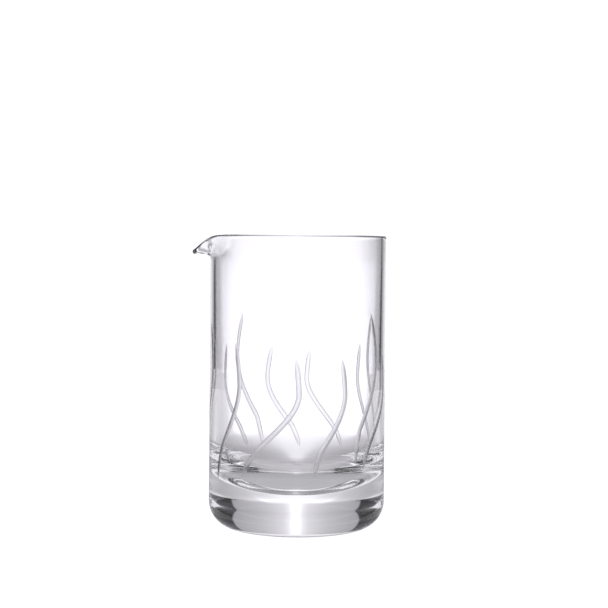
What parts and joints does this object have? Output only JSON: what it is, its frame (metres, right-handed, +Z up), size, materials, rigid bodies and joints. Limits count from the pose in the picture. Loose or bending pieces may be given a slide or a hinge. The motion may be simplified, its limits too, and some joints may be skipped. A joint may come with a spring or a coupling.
{
  "type": "mixing glass",
  "caption": "Straight-sided bartender's mixing glass with a heavy base, a pulled pouring spout and slanting wheel-cut strokes.",
  "frame": {"origin": "centre of the flat underside that the glass stands on, on the axis of the round wall", "axes": "+Z up along the axis of the round wall, -X out over the pouring spout, -Y towards the front"},
  "size_m": [0.0992, 0.09, 0.15],
  "materials": {
    "glass": "polished clear"
  },
  "bodies": {
    "root": {"mixing_glass": "glass"}
  },
  "joints": []
}
